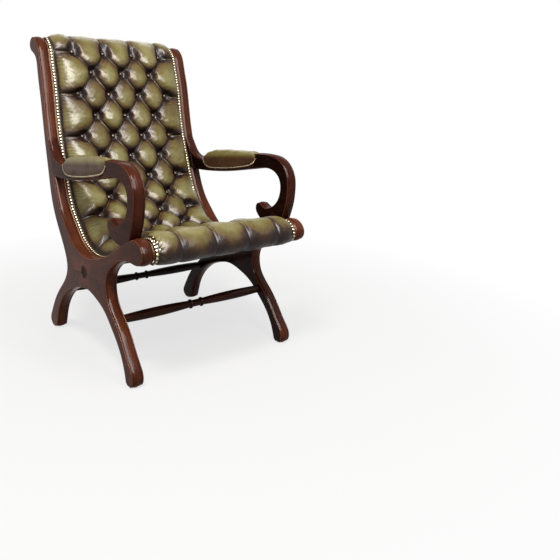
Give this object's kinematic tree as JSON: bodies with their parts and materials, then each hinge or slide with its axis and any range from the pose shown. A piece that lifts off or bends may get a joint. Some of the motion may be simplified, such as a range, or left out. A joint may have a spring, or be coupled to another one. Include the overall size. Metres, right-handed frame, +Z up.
{
  "type": "upholstered armchair",
  "caption": "X-frame slipper armchair: curved mahogany side frames with scroll arms, and deep-buttoned green leather from crest to front edge.",
  "frame": {"origin": "on the floor under the middle of the chair's width and depth", "axes": "+Z up, the chair faces -Y, +X is the side on the right of a viewer who stands in front of it"},
  "size_m": [0.5856, 0.8461, 1.0079],
  "materials": {
    "mahogany": "french-polished dark red mahogany",
    "arm_mahogany": "french-polished dark mahogany, worn at the edges",
    "rosette_mahogany": "turned and polished mahogany",
    "stretcher_mahogany": "turned and polished mahogany",
    "beech": "plain unpolished beech",
    "leather": "antique green hide, rubbed, satin",
    "button_leather": "antique green hide, satin",
    "pad_leather": "antique green hide, rubbed, satin",
    "back_leather": "antique green hide, satin",
    "nail_brass": "domed nail heads, pale antique brass",
    "glide_brass": "dull brass",
    "screw_steel": "plain steel",
    "stuffing": "stuffing in calico",
    "webbing": "jute webbing",
    "hessian": "open hessian",
    "dust_cloth": "black cotton"
  },
  "bodies": {
    "root": {"left_back_stile": "mahogany", "right_back_stile": "mahogany", "left_seat_rail": "mahogany", "right_seat_rail": "mahogany", "left_front_leg": "mahogany", "right_front_leg": "mahogany", "left_rear_leg": "mahogany", "right_rear_leg": "mahogany", "left_arm": "arm_mahogany", "right_arm": "arm_mahogany", "left_hub_rosette": "rosette_mahogany", "right_hub_rosette": "rosette_mahogany", "left_back_inner_rail": "beech", "right_back_inner_rail": "beech", "left_seat_inner_rail": "beech", "right_seat_inner_rail": "beech", "left_arm_pad_foam": "stuffing", "right_arm_pad_foam": "stuffing", "left_arm_pad_cover": "pad_leather", "right_arm_pad_cover": "pad_leather", "left_arm_pad_nails": "nail_brass", "right_arm_pad_nails": "nail_brass", "left_trim_nails": "nail_brass", "right_trim_nails": "nail_brass", "front_stretcher": "stretcher_mahogany", "rear_stretcher": "stretcher_mahogany", "crest_bar": "beech", "front_bar": "beech", "lumbar_rail": "beech", "frame_dowels": "beech", "frame_screws": "screw_steel", "back_webbing": "webbing", "seat_webbing": "webbing", "hessian_lining": "hessian", "foam_padding": "stuffing", "leather_cover": "leather", "cover_buttons": "button_leather", "outside_back_cover": "back_leather", "dust_cover": "dust_cloth", "foot_glides": "glide_brass"}
  },
  "joints": []
}
